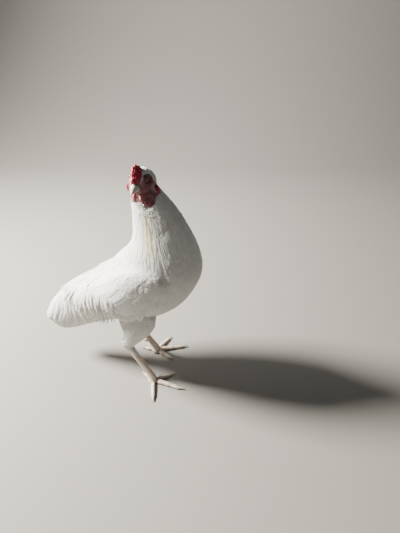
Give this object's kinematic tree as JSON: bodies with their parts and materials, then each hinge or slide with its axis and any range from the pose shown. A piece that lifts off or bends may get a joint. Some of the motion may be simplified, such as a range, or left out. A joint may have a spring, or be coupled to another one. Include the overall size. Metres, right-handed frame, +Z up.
{
  "type": "rooster",
  "caption": "Life-size still model of a standing white game rooster with its head turned over its right shoulder.",
  "frame": {"origin": "middle of the bounding box at floor level, between and a little behind the feet", "axes": "+X is the way the bird's breast faces, +Y its left side, +Z up"},
  "size_m": [0.4472, 0.2525, 0.6087],
  "materials": {
    "body_plumage": "matte: short white feathers over flesh, cream on the neck",
    "loose_feathers": "matte: long white feathers",
    "face_skin": "bare red skin, finely pebbled",
    "leg_scales": "pale pinkish ivory scales",
    "horn": "smooth pale horn",
    "eye": "wet, pale iris and black pupil"
  },
  "bodies": {
    "root": {"beak_lower": "horn", "beak_upper": "horn", "claw_left_back": "horn", "claw_left_inner": "horn", "claw_left_middle": "horn", "claw_left_outer": "horn", "claw_right_back": "horn", "claw_right_inner": "horn", "claw_right_middle": "horn", "claw_right_outer": "horn", "comb": "face_skin", "earlobe_left": "face_skin", "earlobe_right": "face_skin", "eye_left": "eye", "eye_right": "eye", "head": "face_skin", "neck_lower": "body_plumage", "neck_upper": "body_plumage", "shank_left": "leg_scales", "shank_right": "leg_scales", "spur_left": "horn", "spur_right": "horn", "tail": "loose_feathers", "thigh_left": "body_plumage", "thigh_right": "body_plumage", "toe_left_back": "leg_scales", "toe_left_inner": "leg_scales", "toe_left_middle": "leg_scales", "toe_left_outer": "leg_scales", "toe_right_back": "leg_scales", "toe_right_inner": "leg_scales", "toe_right_middle": "leg_scales", "toe_right_outer": "leg_scales", "trunk_front": "body_plumage", "trunk_rear": "body_plumage", "wattle_left": "face_skin", "wattle_right": "face_skin", "wing_left": "loose_feathers", "wing_right": "loose_feathers"}
  },
  "joints": []
}
